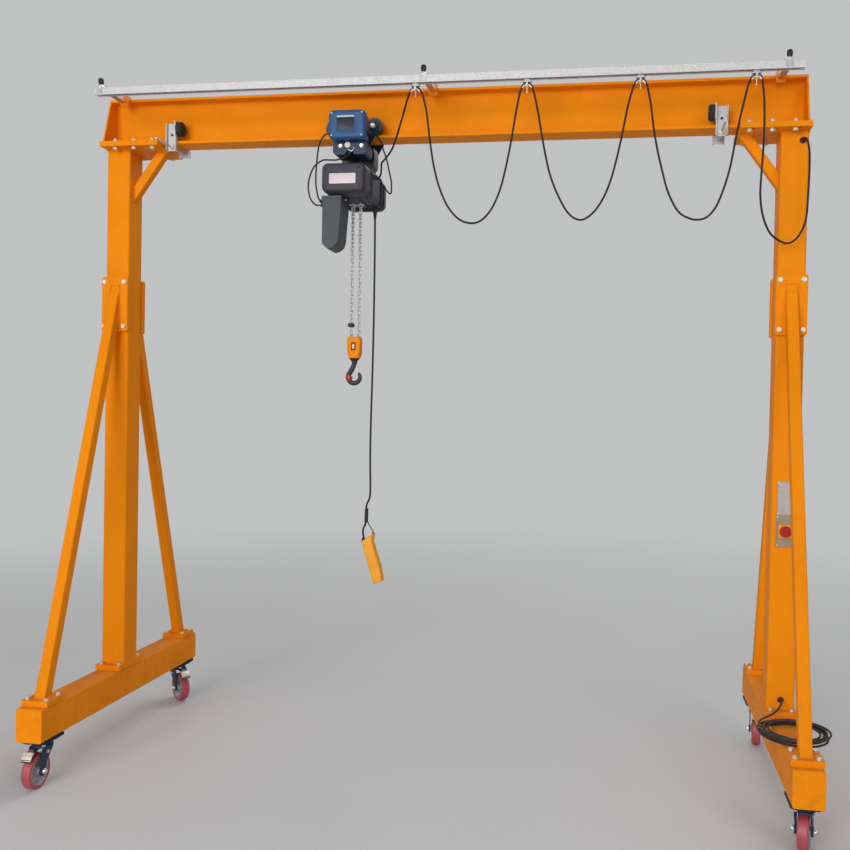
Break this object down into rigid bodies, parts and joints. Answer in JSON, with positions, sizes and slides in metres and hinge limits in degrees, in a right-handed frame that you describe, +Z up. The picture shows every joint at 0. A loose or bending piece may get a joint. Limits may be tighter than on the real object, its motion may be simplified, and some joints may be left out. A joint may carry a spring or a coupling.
{
  "type": "portable gantry crane",
  "caption": "Rolling gantry crane: I-beam girder on two braced columns with base beams on swivel casters, and an electric chain hoist on a powered trolley.",
  "frame": {"origin": "on the floor under the middle of the girder", "axes": "+X along the girder, towards the column with the isolator; +Y away from the viewer; +Z up"},
  "size_m": [3.394, 1.3877, 3.175],
  "materials": {
    "orange_paint": "worn semi-gloss",
    "blue_paint": "satin",
    "charcoal_paint": "satin",
    "grey_casting": "satin, fine cast texture",
    "galvanised": "zinc plated",
    "dark_steel": "oiled",
    "chain_steel": "plated, lightly oiled",
    "plate_aluminium": "satin, bare",
    "black_plastic": "matt",
    "black_rubber": "matt",
    "red_tyre": "smooth, scuffed",
    "yellow_plastic": "satin",
    "red_plastic": "glossy"
  },
  "bodies": {
    "frame": {"girder": "orange_paint", "girder_ends": "orange_paint", "column_left": "orange_paint", "column_right": "orange_paint", "head_plates": "orange_paint", "column_feet": "orange_paint", "knee_braces": "orange_paint", "braces_left": "orange_paint", "braces_right": "orange_paint", "brace_plates": "orange_paint", "base_beam_left": "orange_paint", "base_beam_right": "orange_paint", "beam_pads": "orange_paint", "caster_plates": "galvanised", "trolley_stops": "galvanised", "stop_buffers": "black_rubber", "festoon_rail": "galvanised", "rail_brackets": "galvanised", "rail_knobs": "black_plastic", "nameplate": "plate_aluminium", "switch_plate": "plate_aluminium", "cable_glands": "black_plastic", "supply_cord": "black_rubber", "supply_coil": "black_rubber", "festoon_cable_5": "black_rubber"},
    "trolley": {"trolley_frame": "blue_paint", "trolley_wheels": "dark_steel", "drive_box": "blue_paint", "drive_motor": "blue_paint", "suspension": "charcoal_paint", "hoist_body": "grey_casting", "hoist_cover": "charcoal_paint", "hoist_motor": "charcoal_paint", "chain_container": "black_plastic", "jumper_cables": "black_rubber", "pendant_cord": "black_rubber", "pendant": "yellow_plastic", "load_chain": "chain_steel", "festoon_cable_1": "black_rubber"},
    "hook_block": {"hook_block": "orange_paint", "chain_stopper": "black_plastic"},
    "hook": {"hook": "charcoal_paint"},
    "latch": {"hook_latch": "galvanised"},
    "knob": {"isolator_knob": "red_plastic"},
    "carrier_1": {"carrier_1": "galvanised", "festoon_cable_2": "black_rubber"},
    "carrier_2": {"carrier_2": "galvanised", "festoon_cable_3": "black_rubber"},
    "carrier_3": {"carrier_3": "galvanised", "festoon_cable_4": "black_rubber"},
    "carrier_4": {"carrier_4": "galvanised"},
    "swivel_left_front": {"caster_fork_left_front": "blue_paint"},
    "wheel_left_front": {"caster_wheel_left_front": "red_tyre"},
    "swivel_left_rear": {"caster_fork_left_rear": "blue_paint"},
    "wheel_left_rear": {"caster_wheel_left_rear": "red_tyre"},
    "swivel_right_front": {"caster_fork_right_front": "blue_paint"},
    "wheel_right_front": {"caster_wheel_right_front": "red_tyre"},
    "swivel_right_rear": {"caster_fork_right_rear": "blue_paint"},
    "wheel_right_rear": {"caster_wheel_right_rear": "red_tyre"}
  },
  "joints": [
    {"name": "trolley_travel", "type": "slide", "parent": "frame", "child": "trolley", "axis": [1, 0, 0], "range_m": [-0.71, 1.47]},
    {"name": "hoist_lift", "type": "slide", "parent": "trolley", "child": "hook_block", "axis": [0, 0, 1], "range_m": [-1.7, 0.53], "deforming": ["load_chain"]},
    {"name": "hook_swivel", "type": "hinge", "parent": "hook_block", "child": "hook", "pos_m": [-0.395, 0, 1.88], "axis": [0, 0, 1], "continuous": true},
    {"name": "latch_hinge", "type": "hinge", "parent": "hook", "child": "latch", "pos_m": [-0.387, 0, 1.863], "axis": [0, 1, 0], "range_deg": [0, 34], "stiffness_Nm_per_rad": 0.05, "springref_deg": -20.05},
    {"name": "isolator_turn", "type": "hinge", "parent": "frame", "child": "knob", "pos_m": [1.59, -0.07, 1.162], "axis": [0, -1, 0], "range_deg": [-90, 0]},
    {"name": "festoon_1", "type": "slide", "parent": "trolley", "child": "carrier_1", "axis": [1, 0, 0], "range_m": [-0.21, 0.1], "deforming": ["festoon_cable_1"]},
    {"name": "festoon_2", "type": "slide", "parent": "carrier_1", "child": "carrier_2", "axis": [1, 0, 0], "range_m": [-0.435, 0.21], "deforming": ["festoon_cable_2"]},
    {"name": "festoon_3", "type": "slide", "parent": "carrier_2", "child": "carrier_3", "axis": [1, 0, 0], "range_m": [-0.425, 0.205], "deforming": ["festoon_cable_3"]},
    {"name": "festoon_4", "type": "slide", "parent": "carrier_3", "child": "carrier_4", "axis": [1, 0, 0], "range_m": [-0.415, 0.2], "deforming": ["festoon_cable_4"]},
    {"name": "swivel_left_front", "type": "hinge", "parent": "frame", "child": "swivel_left_front", "pos_m": [-1.59, -0.59, 0.18], "axis": [0, 0, 1], "continuous": true},
    {"name": "roll_left_front", "type": "hinge", "parent": "swivel_left_front", "child": "wheel_left_front", "pos_m": [-1.58853, -0.63197, 0.075], "axis": [0.9994, 0.0349, 0], "continuous": true},
    {"name": "swivel_left_rear", "type": "hinge", "parent": "frame", "child": "swivel_left_rear", "pos_m": [-1.59, 0.59, 0.18], "axis": [0, 0, 1], "continuous": true},
    {"name": "roll_left_rear", "type": "hinge", "parent": "swivel_left_rear", "child": "wheel_left_rear", "pos_m": [-1.5569, 0.56414, 0.075], "axis": [0.6157, 0.788, 0], "continuous": true},
    {"name": "swivel_right_front", "type": "hinge", "parent": "frame", "child": "swivel_right_front", "pos_m": [1.59, -0.59, 0.18], "axis": [0, 0, 1], "continuous": true},
    {"name": "roll_right_front", "type": "hinge", "parent": "swivel_right_front", "child": "wheel_right_front", "pos_m": [1.60158, -0.54963, 0.075], "axis": [-0.9613, 0.2756, 0], "continuous": true},
    {"name": "swivel_right_rear", "type": "hinge", "parent": "frame", "child": "swivel_right_rear", "pos_m": [1.59, 0.59, 0.18], "axis": [0, 0, 1], "continuous": true},
    {"name": "roll_right_rear", "type": "hinge", "parent": "swivel_right_rear", "child": "wheel_right_rear", "pos_m": [1.58415, 0.54841, 0.075], "axis": [0.9903, -0.1392, 0], "continuous": true}
  ],
  "couplings": [
    {"joint": "festoon_1", "follows": "trolley_travel", "ratio": -0.14},
    {"joint": "festoon_2", "follows": "trolley_travel", "ratio": -0.294},
    {"joint": "festoon_3", "follows": "trolley_travel", "ratio": -0.286},
    {"joint": "festoon_4", "follows": "trolley_travel", "ratio": -0.28}
  ]
}
